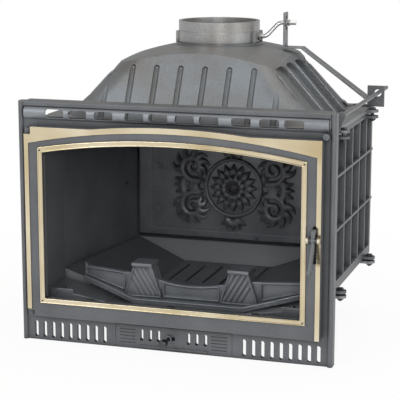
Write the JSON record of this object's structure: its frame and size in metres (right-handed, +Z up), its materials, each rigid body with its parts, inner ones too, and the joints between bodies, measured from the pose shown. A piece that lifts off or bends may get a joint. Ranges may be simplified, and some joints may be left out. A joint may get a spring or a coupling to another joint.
{
  "type": "fireplace insert",
  "caption": "Cast-iron fireplace insert with an arched glazed door, brass trims, air slider, ribbed firebox, fluted hood and a flue collar with a rod-worked damper.",
  "frame": {"origin": "under the middle of the front frame, at the height of the hearth it stands on", "axes": "+X to the right seen from the front, +Y from the front to the back, +Z up along the flue"},
  "size_m": [0.768, 0.694, 0.758],
  "materials": {
    "front_iron": "satin graphite stove paint",
    "shell_iron": "satin graphite stove paint",
    "hood_iron": "matt grey stove paint",
    "fire_iron": "matt charcoal",
    "sheet_steel": "satin grey",
    "bright_steel": "bright drawn steel",
    "polished_brass": "polished",
    "glass": "clear ceramic glass",
    "seal": "braided glass fibre"
  },
  "bodies": {
    "firebox": {"front_frame": "front_iron", "hinge_pins": "bright_steel", "convection_grille": "front_iron", "air_panel": "front_iron", "side_wall_right": "shell_iron", "side_wall_left": "shell_iron", "tie_bolts_low": "bright_steel", "tie_bolts_high": "bright_steel", "back_wall": "shell_iron", "fireback": "fire_iron", "fireback_bolts": "bright_steel", "side_lining_right": "fire_iron", "side_lining_left": "fire_iron", "hearth_tray": "shell_iron", "grate": "fire_iron", "ash_well": "sheet_steel", "ash_pan": "sheet_steel", "log_guard": "fire_iron", "sill_plates": "fire_iron", "smoke_baffle": "fire_iron", "hood": "hood_iron", "hood_gasket": "seal", "flue_collar": "hood_iron", "rod_guide": "sheet_steel", "latch_keeper": "front_iron", "rear_legs": "shell_iron"},
    "door": {"door_frame": "front_iron", "glass_clips": "sheet_steel", "clip_screws": "bright_steel", "glass_pane": "glass", "glass_gasket": "seal", "door_rope_seal": "seal", "inner_trim": "polished_brass", "outer_trim": "polished_brass", "trim_screws": "polished_brass", "handle_bracket": "front_iron", "handle_pin": "polished_brass"},
    "handle": {"handle_lever": "front_iron"},
    "slider": {"air_slider": "sheet_steel", "slider_knob": "front_iron"},
    "damper": {"damper_plate": "sheet_steel", "damper_shaft": "bright_steel", "damper_screws": "bright_steel", "crank_nut": "bright_steel"},
    "control": {"control_knob": "front_iron", "pull_rod": "sheet_steel", "offset_lug": "sheet_steel", "lug_bolts": "bright_steel", "side_rod": "sheet_steel", "strap": "sheet_steel"}
  },
  "joints": [
    {"name": "door_hinge", "type": "hinge", "parent": "firebox", "child": "door", "pos_m": [-0.344, -0.022, 0.29], "axis": [0, 0, -1], "range_deg": [0, 110]},
    {"name": "handle_turn", "type": "hinge", "parent": "door", "child": "handle", "pos_m": [0.3365, -0.051, 0.297], "axis": [-1, 0, 0], "range_deg": [0, 60]},
    {"name": "air_slide", "type": "slide", "parent": "firebox", "child": "slider", "axis": [1, 0, 0], "range_m": [0, 0.01]},
    {"name": "damper_pull", "type": "slide", "parent": "firebox", "child": "control", "axis": [0, 1, 0], "range_m": [-0.0379, 0]},
    {"name": "damper_turn", "type": "hinge", "parent": "firebox", "child": "damper", "pos_m": [0, 0.355, 0.7], "axis": [1, 0, 0], "range_deg": [0, 60]}
  ],
  "couplings": [
    {"joint": "damper_turn", "follows": "damper_pull", "rad_per_m": -27.558}
  ]
}
